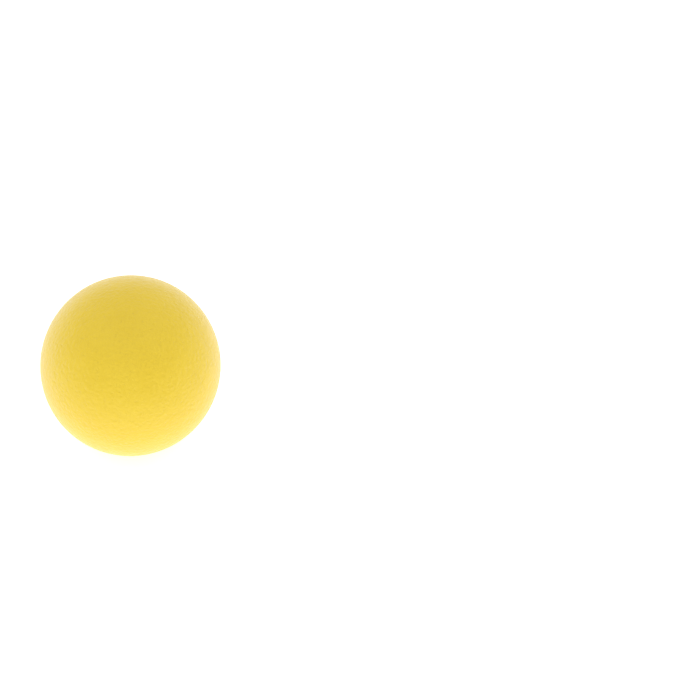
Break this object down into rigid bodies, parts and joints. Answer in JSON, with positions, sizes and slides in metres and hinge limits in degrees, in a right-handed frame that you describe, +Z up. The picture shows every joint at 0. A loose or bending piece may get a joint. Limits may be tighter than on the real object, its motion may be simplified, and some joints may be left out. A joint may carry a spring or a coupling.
{
  "type": "foam dodgeball",
  "caption": "Soft matt dodgeball: a solid ball of foam in a thin tough coloured skin, for throwing and catching games.",
  "frame": {"origin": "centre of the ball", "axes": "+Z up, square to the flat that the ball stands on; X and Y are alike"},
  "size_m": [0.178, 0.178, 0.1772],
  "materials": {
    "skin": "matte",
    "foam": "matte"
  },
  "bodies": {
    "root": {"skin": "skin", "foam_core": "foam"}
  },
  "joints": []
}
